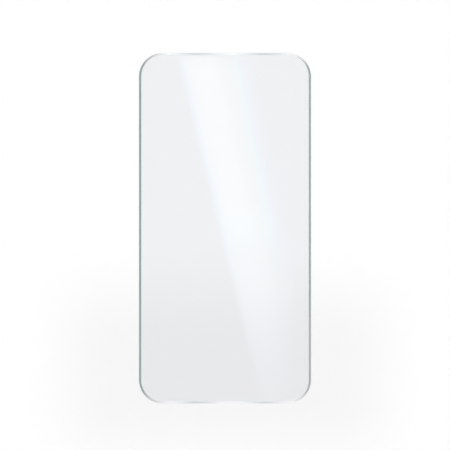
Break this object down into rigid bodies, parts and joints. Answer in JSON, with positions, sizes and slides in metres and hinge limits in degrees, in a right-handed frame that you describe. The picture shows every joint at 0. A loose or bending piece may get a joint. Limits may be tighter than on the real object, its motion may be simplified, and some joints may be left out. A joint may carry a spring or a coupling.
{
  "type": "phone screen protector",
  "caption": "Clear glass sheet with rounded corners and a curved ground edge, made to bond over the front of a phone and protect its display.",
  "frame": {"origin": "middle of the back face, on the surface that the sheet lies on", "axes": "+Z out of the touch face, +Y along the length towards the phone's earpiece end, +X across the width"},
  "size_m": [0.07, 0.1428, 0.0003],
  "materials": {
    "clear_glass": "clear polished glass, with a grey-green tint along its ground edge"
  },
  "bodies": {
    "root": {"glass_sheet": "clear_glass"}
  },
  "joints": []
}
